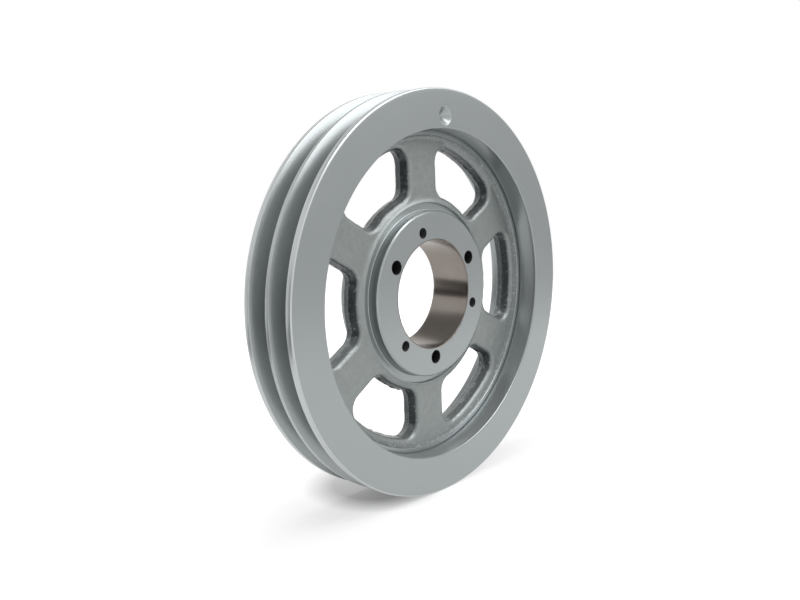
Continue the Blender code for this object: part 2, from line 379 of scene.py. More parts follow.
# %% [markdown]
# ## The rim
# The rim is a ring with two V-grooves, turned from the casting. Its section is a chain of
# corners: the front face, the land, two grooves with flat roots, the back land, the back face
# and the plain bore. The grooves are 40 degrees wide and their edges are barely broken, while
# the front edge is softer. One spot on the front face was drilled to balance the wheel, and the
# drill's point left a cone, which is pressed into the grid where the face lies.

# %% Rim section and balance dimple
GROOVE_OFFSET = 8.73 * MM
GROOVE_HALF = 7.45 * MM
GROOVE_DEPTH = 15.0 * MM
GROOVE_SLANT = math.radians(20)
ROOT_HALF = GROOVE_HALF - GROOVE_DEPTH * math.tan(GROOVE_SLANT)
ROOT_RADIUS = RIM_RADIUS - GROOVE_DEPTH
SOFT_EDGE = 0.9 * MM
GROOVE_EDGE = 0.35 * MM
ROOT_FILLET = 1.2 * MM
DIMPLE_RADIUS = 5.8 * MM
DIMPLE_PLACE = RIM_BORE + 8.0 * MM
DIMPLE_ANGLE = math.radians(91.5)
DIMPLE_SLOPE = 1.1
DIMPLE_EDGE = 0.35 * MM
DIMPLE_MARGIN = 1.2 * DIMPLE_RADIUS
DIMPLE_ROWS = 40
DIMPLE_FAN = 3.6
DIMPLE_TURNS = 48
ON_FACE = 0.01 * MM
RIM_SPACING = 2.5 * MM
RIM_TURNS = 320


def groove_corners(middle):
    """Four corners of one V-groove, from its front edge to its back edge."""
    return [(RIM_RADIUS, middle + GROOVE_HALF), (ROOT_RADIUS, middle + ROOT_HALF),
            (ROOT_RADIUS, middle - ROOT_HALF), (RIM_RADIUS, middle - GROOVE_HALF)]


def rim_section():
    """The rim's closed section, starting and ending on the front face beside the dimple."""
    face_in = DIMPLE_PLACE - DIMPLE_MARGIN
    face_out = DIMPLE_PLACE + DIMPLE_MARGIN
    corners = [(face_out, RIM_FRONT), (RIM_RADIUS, RIM_FRONT)]
    corners += groove_corners(GROOVE_OFFSET) + groove_corners(-GROOVE_OFFSET)
    corners += [(RIM_RADIUS, RIM_BACK), (RIM_BORE, RIM_BACK), (RIM_BORE, RIM_FRONT)]
    corners += [(face_in, RIM_FRONT)]
    groove_radii = [GROOVE_EDGE, ROOT_FILLET, ROOT_FILLET, GROOVE_EDGE]
    radii = [SOFT_EDGE] + groove_radii * 2 + [SOFT_EDGE, SOFT_EDGE, SOFT_EDGE]
    line = spaced(rounded(corners, radii), RIM_SPACING)
    face = np.linspace(face_in, face_out, DIMPLE_ROWS)[1:-1]
    return np.vstack([line, np.stack([face, np.full_like(face, RIM_FRONT)], -1)])


def rim_grid():
    """The section carried round the axis, with a drill-point cone pressed into the front face.

    The cone's depth is slope * (radius - distance), and a small square root rounds its edge. The
    turns are closer together in a fan of a few degrees to each side of it.
    """
    fine = DIMPLE_ANGLE + np.radians(np.linspace(-DIMPLE_FAN, DIMPLE_FAN, DIMPLE_TURNS))
    angles = np.union1d(np.linspace(0, 2 * np.pi, RIM_TURNS, endpoint=False), fine)
    grid = turned(rim_section(), angles)
    across = grid[..., 0] - DIMPLE_PLACE * math.cos(DIMPLE_ANGLE)
    up = grid[..., 2] - DIMPLE_PLACE * math.sin(DIMPLE_ANGLE)
    inside = DIMPLE_RADIUS - np.hypot(across, up)
    depth = DIMPLE_SLOPE * (inside + np.sqrt(inside ** 2 + DIMPLE_EDGE ** 2)) / 2
    on_face = (grid[..., 1] < -RIM_FRONT + ON_FACE) & (inside > -DIMPLE_RADIUS / 4)
    grid[..., 1] += np.where(on_face, depth, 0)
    return grid


rim_grids = [(rim_grid(), True, True, 0, 0.0)]
make_piece("rim", rim_grids, [TURNED_ENAMEL], "grooved_rim")

# %% [markdown]
# ## Enamel on cast iron
# The web kept its skin from the sand mould. Under the same grey paint lies a fine grain, about
# a millimetre across, with a few larger lumps and pits. The paint is duller here, and a shade
# darker where it runs into the hollows. A mark on the web's points says where the paint is thin and
# where shade is painted in: on the window walls and in the fillet beside the rim. It is dark there,
# and along the lips, where thick and thin paint meet, brighter flecks are painted as glints.

# %% Enamel on the casting
CAST_TONE = (0.330, 0.357, 0.350, 1.0)
CAST_HOLLOW = (0.255, 0.278, 0.275, 1.0)
# Dark paint of the window walls: thin paint with painted shade, and lighter flecks in it.
WALL_THIN_AND_SHADE = (0.070, 0.080, 0.084, 1.0)
WALL_FLECK = (0.340, 0.360, 0.360, 1.0)
# A painted glint: bright flecks along the window lips.
LIP_GLINT_TONE = (0.520, 0.540, 0.535, 1.0)
SAND_SCALE = 750.0
LUMP_SCALE = 210.0
FLECK_SCALE = 480.0
CAST_ROUGHNESS = 0.30
SAND_ROUGHNESS = 0.22
CAST_METALLIC = 0.55
CAST_STRENGTH = 0.5
CAST_DEPTH = 0.22 * MM


def cast_enamel():
    """Sprayed grey paint over a sand-cast skin."""
    material, shader, shade = new_finish("cast_enamel")
    position = place_on_part(shade)
    sand = grain(shade, position, SAND_SCALE, 3.0, 0.6)
    lumps = grain(shade, position, LUMP_SCALE, 2.0)
    hollow = (sand * 0.6 + lumps * 0.4) * 2.2 - 0.6
    tone = mixed(shade, hollow, CAST_HOLLOW, CAST_TONE)
    # The mark: thin paint and painted shade on the window walls, and painted shade in the fillet beside the
    # rim.
    thin_and_shade = shade.node("ShaderNodeAttribute", {"attribute_name": "mark"}, None, output=2)
    flecks = grain(shade, position, FLECK_SCALE, 3.0, 0.7)
    wall = mixed(shade, flecks * 6.0 - 3.5, WALL_THIN_AND_SHADE, WALL_FLECK)
    lip = shade.maths("MULTIPLY", thin_and_shade * (1.0 - thin_and_shade), 6.0, clamp=True)
    # Painted glints: brighter flecks along the lips of the windows.
    lip_glint = shade.maths("MULTIPLY", lip, flecks * 5.0 - 2.85, clamp=True)
    tone = mixed(shade, lip_glint, mixed(shade, thin_and_shade, tone, wall), LIP_GLINT_TONE)
    dress(shade, shader, tone, CAST_ROUGHNESS + SAND_ROUGHNESS * sand * (1.0 - 0.6 * lip), CAST_METALLIC)
    emboss(shade, shader, sand * 0.5 + lumps, CAST_STRENGTH, CAST_DEPTH)
    return material


CAST_ENAMEL = cast_enamel()
print("finish:", CAST_ENAMEL.name)

# %% [markdown]
# ## The outline of a window
# Six windows leave six arms. A window is bounded by two arcs about the axis, two straight flanks
# parallel to the arms, and four round corners. Every stretch of it has a centre, a radius and an
# outward direction, so a point is centre + radius * direction, and the same outline a little
# wider is found by moving each point along its direction. That makes it a path along which the
# section of the casting's rounded lip and wall can be carried. The outline is its own mirror
# image, so only half of it is worked out: a part beside the rim, one beside the arm and one
# beside the hub.

# %% Window path
ARMS = 6
HALF_STEP = math.pi / ARMS
FIRST_WINDOW = math.radians(3.2)
ARM_HALF = 14.0 * MM
CORNER = 9.0 * MM
WINDOW_OUT = RIM_BORE - 9.1 * MM
WINDOW_IN = HUB_SEAT + 5.4 * MM
PATH_STEP = 0.9 * MM


def stretch(centre_from, centre_to, radius, angle_from, angle_to, count):
    """Points and outward directions of one stretch: centre + radius * (cos, sin) of the angle.

    The centre moves and the angle turns evenly, and the last point is left to the next stretch.
    """
    part = np.linspace(0, 1, count, endpoint=False)[:, None]
    angle = angle_from + (angle_to - angle_from) * part
    outward = np.hstack([np.cos(angle), np.sin(angle)])
    centre = np.asarray(centre_from) * (1 - part) + np.asarray(centre_to) * part
    return centre + radius * outward, outward


def joined(*stretches):
    """Several stretches as one: all their points, and all their directions."""
    points, outward = zip(*stretches)
    return np.vstack(points), np.vstack(outward)


def steps_for(length):
    """How many steps a stretch of some length is cut into."""
    return max(3, math.ceil(length / PATH_STEP))


def corner_centre(reach):
    """Centre of a round corner: a corner radius off the arm's flank, at a distance from the axis."""
    offset = ARM_HALF + CORNER
    run = math.sqrt(reach ** 2 - offset ** 2)
    sine, cosine = math.sin(HALF_STEP), math.cos(HALF_STEP)
    return np.array([sine * offset + cosine * run, sine * run - cosine * offset])


def half_window():
    """The upper half of a window's outline, from its outer middle to its inner middle."""
    axis = np.zeros(2)
    outer = corner_centre(WINDOW_OUT - CORNER)
    inner = corner_centre(WINDOW_IN + CORNER)
    out_ray = math.atan2(outer[1], outer[0])
    in_ray = math.atan2(inner[1], inner[0]) + math.pi
    flank = HALF_STEP + math.pi / 2
    out_turn = (out_ray + flank) / 2
    in_turn = (flank + in_ray) / 2
    out_steps = steps_for(CORNER * (flank - out_turn))
    in_steps = steps_for(CORNER * (in_turn - flank))
    beside_rim = joined(
        stretch(axis, axis, WINDOW_OUT, 0, out_ray, steps_for(WINDOW_OUT * out_ray)),
        stretch(outer, outer, CORNER, out_ray, out_turn, out_steps))
    beside_arm = joined(
        stretch(outer, outer, CORNER, out_turn, flank, out_steps),
        stretch(outer, inner, CORNER, flank, flank, steps_for(np.linalg.norm(outer - inner))),
        stretch(inner, inner, CORNER, flank, in_turn, in_steps))
    beside_hub = joined(
        stretch(inner, inner, CORNER, in_turn, in_ray, in_steps),
        stretch(axis, axis, -WINDOW_IN, in_ray, math.pi, steps_for(WINDOW_IN * (in_ray - math.pi))))
    return [beside_rim, beside_arm, beside_hub]


HALF_WINDOW = half_window()
print("half a window:", [len(points) for points, outward in HALF_WINDOW], "points")

# %% [markdown]
# ## The frame round an opening
# Seen from the front, each window sits in its own sixth of the web. That frame is bounded by the
# middles of two arms and by two circles, one beside the rim and one beside the hub. Each point
# of the outline is matched with a point of the border, so straight lines between them cover the
# sixth without a gap, and neighbouring sixths share their points along the arms. The holes of
# the hub are framed in the same way later on.

# %% Match an outline to its border
CAST_OUT = RIM_BORE - 3.2 * MM
CAST_IN = HUB_SEAT + 0.4 * MM


def framed(parts, end, outside, inside, above, below):
    """A whole outline, its outward directions and the border points that belong to it.

    The outline is its upper half, the point at its inner end, and the mirrored half taken
    backwards. The border runs along the outside circle, down the ray at an angle, and along the
    inside circle; its points are spread evenly over each of the three parts.
    """
    share = [np.arange(len(points)) / len(points) for points, outward in parts]
    radius = np.concatenate([np.full(len(share[0]), outside), outside + (inside - outside) * share[1],
                             np.full(len(share[2]), inside)])
    turn = np.concatenate([share[0], np.ones(len(share[1])), 1 - share[2]])
    points, outward = joined(*parts)
    mirror = np.array([1, -1])
    outline = np.vstack([points, [[end, 0]], (points * mirror)[:0:-1]])
    directions = np.vstack([outward, [[-1, 0]], (outward * mirror)[:0:-1]])
    radius = np.concatenate([radius, [inside], radius[:0:-1]])
    angle = np.concatenate([above * turn, [0], -below * turn[:0:-1]])
    return outline, directions, np.stack([radius * np.cos(angle), radius * np.sin(angle)], -1)


def swung(plan, angle):
    """Points of the plan turned about the axis."""
    sine, cosine = math.sin(angle), math.cos(angle)
    return plan @ np.array([[cosine, sine], [-sine, cosine]])


def ring_angles(borders, radius):
    """The angles at which the borders meet a circle, so that a turned strip can share their points."""
    points = np.vstack(borders)
    on_ring = np.abs(np.hypot(points[:, 0], points[:, 1]) - radius) < 0.001 * MM
    angle = np.arctan2(points[on_ring, 1], points[on_ring, 0]) % (2 * np.pi)
    return np.unique(np.round(angle, 7))


WINDOW = framed(HALF_WINDOW, WINDOW_IN, CAST_OUT, CAST_IN, HALF_STEP, HALF_STEP)
WINDOW_ANGLES = FIRST_WINDOW + 2 * HALF_STEP * np.arange(ARMS)
print("window path:", len(WINDOW[0]), "points")

# %% [markdown]
# ## Heights of the web
# Between the windows the web is a flat disc. It rises in a hollow fillet to a machined ledge
# beside the rim and, less so, to a lip beside the hub. Both were cut by the lathe and follow
# the radius only, so the height of the web is a function of the radius. The ledge stands a small
# step above the casting, and a narrow relief parts it from the rim's wall.

# %% Web heights
WEB_FILLET = 6.0 * MM
LEDGE_RISE = 2.4 * MM
LEDGE_STEP = 0.6 * MM
RELIEF = 0.8 * MM
LIP_RISE = 1.1 * MM
REAR_RISE = 2.0 * MM
WEB_FRONT = WEB_LEDGE - LEDGE_RISE
WEB_REAR = WEB_REAR_EDGE + REAR_RISE


def fillet_rise(past, rise):
    """Height of a hollow fillet, R - sqrt(R^2 - d^2), where d counts from the fillet's foot.

    The foot is placed so that the whole rise is reached where past, the way past a circle, is zero.
    """
    reach = math.sqrt(WEB_FILLET ** 2 - (WEB_FILLET - rise) ** 2)
    distance = np.clip(past + reach, 0, reach)
    return WEB_FILLET - np.sqrt(WEB_FILLET ** 2 - distance ** 2)


def front_height(radius):
    """Height of the web's front face: flat, with a fillet at each of the two circles."""
    beside_rim = fillet_rise(radius - CAST_OUT, LEDGE_RISE - LEDGE_STEP)
    return WEB_FRONT + beside_rim + fillet_rise(CAST_IN - radius, LIP_RISE)


def rear_height(radius):
    """Height of the web's rear face: flat, with a fillet beside the rim."""
    return WEB_REAR - fillet_rise(radius - web_high.x, REAR_RISE)


print(f"web from {WEB_REAR / MM:.2f} to {WEB_FRONT / MM:.2f} mm")

# %% [markdown]
# ## The casting's skin
# A sand mould leaves a skin that is never quite flat, and where its two halves met a thin, ragged
# ridge of metal is left in the middle of each window's wall. Both are real bumps that catch the
# light, so they are pushed into the mesh. Noise of this kind is a random number at every corner
# of a lattice of cubes, blended smoothly in between.

# %% Skin and parting ridge
TABLE_SIZE = 64
SKIN_FADE = 2.0 * MM
SKIN_COARSE = 0.12 * MM
SKIN_FINE = 0.06 * MM
FLASH = 0.5 * MM
COARSE_CELL = 4.0 * MM
FINE_CELL = 1.6 * MM
FLASH_CELL = 2.6 * MM


def lattice_noise(points, cell, seed):
    """Smooth random values from -1 to 1, blended over each cube's corners with 3t^2 - 2t^3."""
    table = np.random.default_rng(seed).uniform(-1, 1, (TABLE_SIZE,) * 3)
    place = points / cell
    corner = np.floor(place).astype(int)
    part = place - corner
    part = part * part * (3 - 2 * part)
    total = np.zeros(points.shape[:-1])
    for shift in itertools.product((0, 1), repeat=3):
        weight = np.where(shift, part, 1 - part).prod(-1)
        index = (corner + shift) % TABLE_SIZE
        total += weight * table[index[..., 0], index[..., 1], index[..., 2]]
    return total


def cast_skin(points, facing, flash):
    """Points pushed out by noise of two sizes and by the ridge, but not at the turned circles."""
    radius = np.hypot(points[..., 0], points[..., 2])
    fade = np.clip((CAST_OUT - radius) / SKIN_FADE, 0, 1) * np.clip((radius - CAST_IN) / SKIN_FADE, 0, 1)
    coarse = SKIN_COARSE * lattice_noise(points, COARSE_CELL, 1)
    fine = SKIN_FINE * lattice_noise(points, FINE_CELL, 2)
    ragged = np.clip(0.4 + lattice_noise(points, FLASH_CELL, 3), 0, None)
    push = fade * (coarse + fine) + FLASH * flash * ragged
    return points + push[..., None] * facing


print("skin noise:", lattice_noise(np.zeros((2, 3)), MM, 1))

# %% [markdown]
# ## The web
# One sixth of the web is a single grid. Along it runs the window's outline. Across it the section
# goes over the front face to the window, round the lip, down the wall, round the lip at the back
# and over the rear face again. Each point is marked with how dark its paint is made: thin paint and
# painted shade on the walls, painted shade in the fillet beside the rim, and less of it where a
# surface faces up, painted lighter for light from above. The six sixths and two turned strips, the
# ledge beside the rim and the lip beside the hub, are then welded into one piece.

# %% Build the web
LIP = 3.5 * MM
DRAFT = 0.6 * MM
FACE_STEPS = 15
LIP_STEPS = 8
WALL_STEPS = 11
FLASH_WIDTH = 0.13
FIT = 0.02 * MM
# Share of painted shade in the hollow fillet beside the rim.
FILLET_THIN_AND_SHADE = 0.65
# Painted light from above: how much less dark a surface is painted where it faces up.
LIT_FROM_ABOVE = 0.8
LEDGE_SLOPE = 0.15 * MM
LEDGE_ROUNDS = (0.1 * MM, 0.15 * MM, 0.2 * MM, 0.1 * MM)
LEDGE_SPACING = 1.2 * MM
LIP_ROUND = 0.12 * MM
LIP_SPACING = 2.0 * MM


def web_sixth():
    """Plan, height, facing and flash share of one sixth, before it is turned into its place.

    The lip is a quarter circle: at an angle b it lies LIP * (1 - sin b) outside the outline and
    LIP * (1 - cos b) below the face, and the surface there faces sin b into the window.
    """
    outline, outward, border = WINDOW
    bend = np.linspace(0, math.pi / 2, LIP_STEPS)
    lip = outline[:, None] + (LIP * (1 - np.sin(bend)))[:, None] * outward[:, None]
    share = np.linspace(0, 1, FACE_STEPS, endpoint=False)[:, None]
    near = np.concatenate([border[:, None] * (1 - share) + lip[:, :1] * share, lip], 1)
    sink = np.concatenate([np.zeros(FACE_STEPS), LIP * (1 - np.cos(bend))])
    tilt = np.concatenate([np.zeros(FACE_STEPS), bend])
    radius = np.linalg.norm(near, axis=-1)
    front = front_height(radius) - sink
    rear = rear_height(radius) + sink
    down = np.linspace(0, 1, WALL_STEPS + 2)[1:-1]
    wall = outline[:, None] - (DRAFT * (1 - np.abs(2 * down - 1)))[:, None] * outward[:, None]
    side = front[:, -1:] * (1 - down) + rear[:, -1:] * down
    tilt = np.concatenate([tilt, np.full(WALL_STEPS, math.pi / 2), math.pi - tilt[::-1]])
    flash = np.concatenate([0 * sink, np.exp(-((down - 0.5) / FLASH_WIDTH) ** 2), 0 * sink])
    plan = np.concatenate([near, wall, near[:, ::-1]], 1)
    height = np.concatenate([front, side, rear[:, ::-1]], 1)
    return plan, height, -np.sin(tilt)[:, None] * outward[:, None], np.cos(tilt), flash


def thin_paint_and_shade(plan, lift):
    """How dark the paint is made, for thin paint and painted shade: 1 on a window's wall, and a share of
    that in the fillet beside the rim.

    With aside = 1 - lift^2 it falls off as aside^2 over the front lip and as sqrt(aside) over the
    rear one.
    """
    aside = 1 - lift ** 2
    wall = np.where(lift > 0, aside ** 2, np.sqrt(aside))
    # Painted shade in the hollow fillet beside the rim.
    fillet = np.clip((np.linalg.norm(plan, axis=-1) - CAST_OUT) / WEB_FILLET + 1, 0, 1) ** 2
    return np.maximum(wall, FILLET_THIN_AND_SHADE * fillet)


def web_grids():
    """Six cast sixths, the machined ledge with its seat in the rim, and the lip with its seat."""
    plan, height, lean, lift, flash = web_sixth()
    thin_and_shade = thin_paint_and_shade(plan, lift)
    grids = []
    for angle in WINDOW_ANGLES:
        turned_plan = swung(plan, angle)
        turned_lean = swung(lean, angle)
        points = upright(turned_plan[..., 0], turned_plan[..., 1], height)
        facing = upright(turned_lean[..., 0], turned_lean[..., 1], lift)
        # Painted light from above: surfaces that face up get less of the dark mark.
        mark = thin_and_shade * (1 - LIT_FROM_ABOVE * np.clip(facing[..., 2], 0, 1))
        grids.append((cast_skin(points, facing, flash), True, False, 0, mark))
    borders = [swung(WINDOW[2], angle) for angle in WINDOW_ANGLES]
    seat = RIM_BORE - FIT
    rear_radius = np.linspace(seat, CAST_OUT, 8)
    ledge = rounded(
        [(CAST_OUT, WEB_LEDGE - LEDGE_STEP), (CAST_OUT + LEDGE_SLOPE, WEB_LEDGE),
         (seat - RELIEF, WEB_LEDGE), (seat - RELIEF, WEB_LEDGE - RELIEF),
         (seat, WEB_LEDGE - RELIEF), (seat, rear_height(seat))], LEDGE_ROUNDS)
    ledge = np.vstack([ledge, np.stack([rear_radius, rear_height(rear_radius)], -1)[1:]])
    lip_height = WEB_FRONT + LIP_RISE
    lip = rounded([(CAST_IN, lip_height), (HUB_SEAT, lip_height), (HUB_SEAT, WEB_REAR),
                   (CAST_IN, WEB_REAR)], [LIP_ROUND, LIP_ROUND])
    ledge_strip = turned(spaced(ledge, LEDGE_SPACING), ring_angles(borders, CAST_OUT))
    lip_strip = turned(spaced(lip, LIP_SPACING), ring_angles(borders, CAST_IN))
    return grids + [(strip, True, False, 1, 0.0) for strip in (ledge_strip, lip_strip)]


make_piece("web", web_grids(), [CAST_ENAMEL, TURNED_ENAMEL], "arm_web")

# %% [markdown]
# ## Bare iron
# The taper bore is left bare, because the bushing has to grip it. It is bored metal that has
# gone a little brown, with fine rings from the boring tool. The holes through the hub are bare
# iron, painted near-black inside for their shade.

# %% Bored and drilled iron
IRON = (0.280, 0.252, 0.229, 1.0)
IRON_BROWN = (0.230, 0.203, 0.181, 1.0)
# Near-black hole walls: the shade inside the holes is painted into the colour.
DRILLED_SHADE = (0.012, 0.014, 0.014, 1.0)
DRILLED_SHADE_DUSTY = (0.040, 0.040, 0.038, 1.0)
BORING_SCALE = 2600.0
BORING_STRENGTH = 0.5
BORING_DEPTH = 0.02 * MM
BLOOM_SCALE = 55.0
OIL_SCALE = 700.0
IRON_ROUGHNESS = 0.15
IRON_METALLIC = 0.92
DRILLED_ROUGHNESS = 0.45
DRILLED_METALLIC = 0.3


def bored_iron():
    """Bare bored iron: a metal with tool rings and a brown bloom."""
    material, shader, shade = new_finish("bored_iron")
    position = place_on_part(shade)
    rings = tool_marks(shade, position, BORING_SCALE, 3.0)
    bloom = grain(shade, position, BLOOM_SCALE, 4.0, 0.6)
    tone = mixed(shade, bloom * 1.6 - 0.3, IRON_BROWN, IRON)
    dress(shade, shader, tone, IRON_ROUGHNESS + 0.06 * bloom + 0.04 * rings, IRON_METALLIC)
    emboss(shade, shader, rings, BORING_STRENGTH, BORING_DEPTH)
    return material


def drilled_iron():
    """The wall of a drilled hole, near-black with its shade painted in."""
    material, shader, shade = new_finish("drilled_iron")
    oil = grain(shade, place_on_part(shade), OIL_SCALE, 3.0)
    tone = mixed(shade, oil, DRILLED_SHADE, DRILLED_SHADE_DUSTY)
    dress(shade, shader, tone, DRILLED_ROUGHNESS + 0.2 * oil, DRILLED_METALLIC)
    return material


BORED_IRON = bored_iron()
DRILLED_IRON = drilled_iron()
print("finishes:", BORED_IRON.name, DRILLED_IRON.name)

# %% [markdown]
# ## The hub
# The hub's face carries six holes on one circle: three plain ones for the screws that draw the
# bushing in, and three tapped ones that push it out again. They aren't evenly spaced, so each
# sixth of the face reaches further on one side of its hole than on the other. The thread is a
# wave on the hole's radius that moves once round for every pitch of depth. Everything else is
# turned: an edge chamfer, the wall, the groove beside the web, the rear barrel and the bore.

# %% Hub sizes
HUB_RADIUS = 54.5 * MM
HUB_CHAMFER = 0.9 * MM
GROOVE_FLOOR = WEB_FRONT - 0.8 * MM
BARREL = 56.3 * MM
BORE_FRONT = 35.72 * MM
BORE_REAR = BORE_FRONT - (HUB_FACE - HUB_REAR) / 32
HOLE_CIRCLE = 42.07 * MM
PLAIN_HOLE = 4.35 * MM
TAPPED_HOLE = 3.25 * MM
THREAD_PITCH = 1.411 * MM
THREAD_DEPTH = 0.7 * MM
FACE_IN = BORE_FRONT + 0.7 * MM
FACE_OUT = HUB_RADIUS - 1.3 * MM
REAR_IN = BORE_REAR + 0.7 * MM
REAR_OUT = BARREL - 1.3 * MM
WIDE = math.radians(37.5)
NARROW = math.radians(22.5)
PAIR_STEP = 120
HOLE_PAIR = ((32, PLAIN_HOLE, WIDE, NARROW, 0.0), (107, TAPPED_HOLE, NARROW, WIDE, THREAD_DEPTH))
HOLES = [(math.radians(start + PAIR_STEP * number), radius, above, below, depth)
         for number in range(3) for start, radius, above, below, depth in HOLE_PAIR]
print("holes at", [round(math.degrees(hole[0])) for hole in HOLES], "degrees")

# %% [markdown]
# ## Holes in a ring, and the hub
# A hole is a circle, and half of it in three parts works like half of a window: the same matching
# spreads the face between the hole and its border. The walls of the holes, the two faces, the
# turned outside and the bore are then welded into one piece.

# %% Build the hub
HOLE_CHAMFER = 0.25 * MM
HOLE_TURNS = (math.radians(50), math.radians(130))
HOLE_COUNTS = (14, 8, 10)
HOLE_ROWS = 130
RING_STEPS = 7
WALL_LEAN = 0.3 * MM
OUTSIDE_ROUNDS = (0.2 * MM, 0.2 * MM, 0.7 * MM, 0.1 * MM, 0.1 * MM, 1.5 * MM, 0.8 * MM)
OUTSIDE_SPACING = 1.2 * MM
BORE_ROUND = 0.3 * MM
BORE_SPACING = 1.5 * MM


def hole_parts(radius):
    """Half of a hole's circle in three parts, like the half of a window."""
    centre = np.array([HOLE_CIRCLE, 0.0])
    turns = (0, *HOLE_TURNS, math.pi)
    return [stretch(centre, centre, radius, turns[i], turns[i + 1], HOLE_COUNTS[i]) for i in range(3)]


def hole_frame(hole, outside, inside):
    """A hole's outline, its outward directions and the border of its sixth of the ring."""
    radius, above, below = hole[1:4]
    return framed(hole_parts(radius), HOLE_CIRCLE - radius, outside, inside, above, below)


def ring_face(hole, outside, inside, height):
    """A sixth of a flat ring, from its border to the chamfer of its hole."""
    outline, outward, border = hole_frame(hole, outside, inside)
    share = np.linspace(0, 1, RING_STEPS)[:, None]
    plan = border[:, None] * (1 - share) + (outline + HOLE_CHAMFER * outward)[:, None] * share
    plan = swung(plan, hole[0])
    return upright(plan[..., 0], plan[..., 1], height)


def hole_wall(hole):
    """A hole's wall with a chamfer at both ends and a thread.

    The thread is a wave, depth * (1 - cos(2 pi h / pitch - angle)) / 2, that fades out at the ends.
    """
    angle, depth = hole[0], hole[-1]
    outline, outward = hole_frame(hole, FACE_OUT, FACE_IN)[:2]
    inner = np.linspace(HUB_FACE - HOLE_CHAMFER, HUB_REAR + HOLE_CHAMFER, HOLE_ROWS)
    height = np.concatenate([[HUB_FACE], inner, [HUB_REAR]])
    flare = np.concatenate([[HOLE_CHAMFER], np.zeros(HOLE_ROWS), [HOLE_CHAMFER]])
    round_angle = np.arctan2(outward[:, 1], outward[:, 0])[:, None]
    wave = (1 - np.cos(2 * math.pi * height / THREAD_PITCH - round_angle)) / 2
    runout = np.clip(np.minimum(HUB_FACE - height, height - HUB_REAR) / THREAD_PITCH, 0, 1)
    widen = np.maximum(flare, depth * wave * runout)
    plan = swung(outline[:, None] + widen[..., None] * outward[:, None], angle)
    return upright(plan[..., 0], plan[..., 1], height)


def hub_grids():
    """Front and rear faces with their holes, the turned outside and the bore."""
    grids = []
    for hole in HOLES:
        grids += [(ring_face(hole, FACE_OUT, FACE_IN, HUB_FACE), True, False, 0, 0.0),
                  (ring_face(hole, REAR_OUT, REAR_IN, HUB_REAR), True, False, 0, 0.0),
                  (hole_wall(hole), True, False, 2, 0.0)]
    borders = [swung(hole_frame(hole, FACE_OUT, FACE_IN)[2], hole[0]) for hole in HOLES]
    seat = HUB_SEAT - FIT
    outside = rounded(
        [(FACE_OUT, HUB_FACE), (HUB_RADIUS - HUB_CHAMFER, HUB_FACE),
         (HUB_RADIUS, HUB_FACE - HUB_CHAMFER), (HUB_RADIUS + WALL_LEAN, GROOVE_FLOOR),
         (seat, GROOVE_FLOOR), (seat, WEB_REAR), (BARREL, WEB_REAR), (BARREL, HUB_REAR),
         (REAR_OUT, HUB_REAR)], OUTSIDE_ROUNDS)
    bore = rounded([(FACE_IN, HUB_FACE), (BORE_FRONT, HUB_FACE), (BORE_REAR, HUB_REAR),
                    (REAR_IN, HUB_REAR)], [BORE_ROUND, BORE_ROUND])
    outside = turned(spaced(outside, OUTSIDE_SPACING), ring_angles(borders, FACE_OUT))
    bore = turned(spaced(bore, BORE_SPACING), ring_angles(borders, FACE_IN))
    return grids + [(outside, True, False, 0, 0.0), (bore, True, False, 1, 0.0)]


hub_finishes = [TURNED_ENAMEL, BORED_IRON, DRILLED_IRON]
make_piece("hub", hub_grids(), hub_finishes, "taper_hub")

# %% [markdown]
# ## The floor
# The pulley stands on its rim on a white table. The floor has to look white to the camera and in
# the paint's reflections, yet keep the shadow where the rim touches it. So the sheet is a pale
# matte one with a glow for camera, glossy and transmission rays only, which adds no light to the
# part. The glow is faint at the point of contact and rises outwards, a little more behind the rim,
# so that the shadow is dark only where the rim touches.

# %% White floor
FLOOR_SIZE = 2.4
FLOOR_TONE = (0.38, 0.38, 0.38, 1.0)
BLACK = (0.0, 0.0, 0.0, 1.0)
WHITE = (1.0, 1.0, 1.0, 1.0)
CONTACT_GLOW = 0.20
OPEN_GLOW = 0.46
SHADE_SIDE_GLOW = 0.16
SHADE_PLACE = (-0.025, 0.022)
FAR_GLOW = 0.45
OPEN_REACH = (0.028, 0.05)
SHADE_SIDE_REACH = (0.0, 0.05)
FAR_REACH = (0.40, 0.90)
FLOOR_ROUGHNESS = 0.9


def sheet_of(name, corners, material):
    """A flat four-sided sheet from its corners, with one material, linked into the scene."""
    mesh = bpy.data.meshes.new(name)
    mesh.from_pydata(np.asarray(corners, float), [], [(0, 1, 2, 3)])
    mesh.materials.append(material)
    sheet = bpy.data.objects.new(name, mesh)
    bpy.context.scene.collection.objects.link(sheet)
    return sheet


def seen_directly(shade):
    """1 for camera, glossy and transmission rays, 0 for the rays that light the part."""
    rays = [shade.node("ShaderNodeLightPath", output=number) for number in (0, 3, 6)]
    return shade.maths("ADD", rays[0] + rays[1], rays[2], clamp=True)


def ramp(shade, value, start, end):
    """0 up to the start, 1 from the end on, and a straight climb in between."""
    return shade.maths("MULTIPLY", value - start, 1 / (end - start), clamp=True)


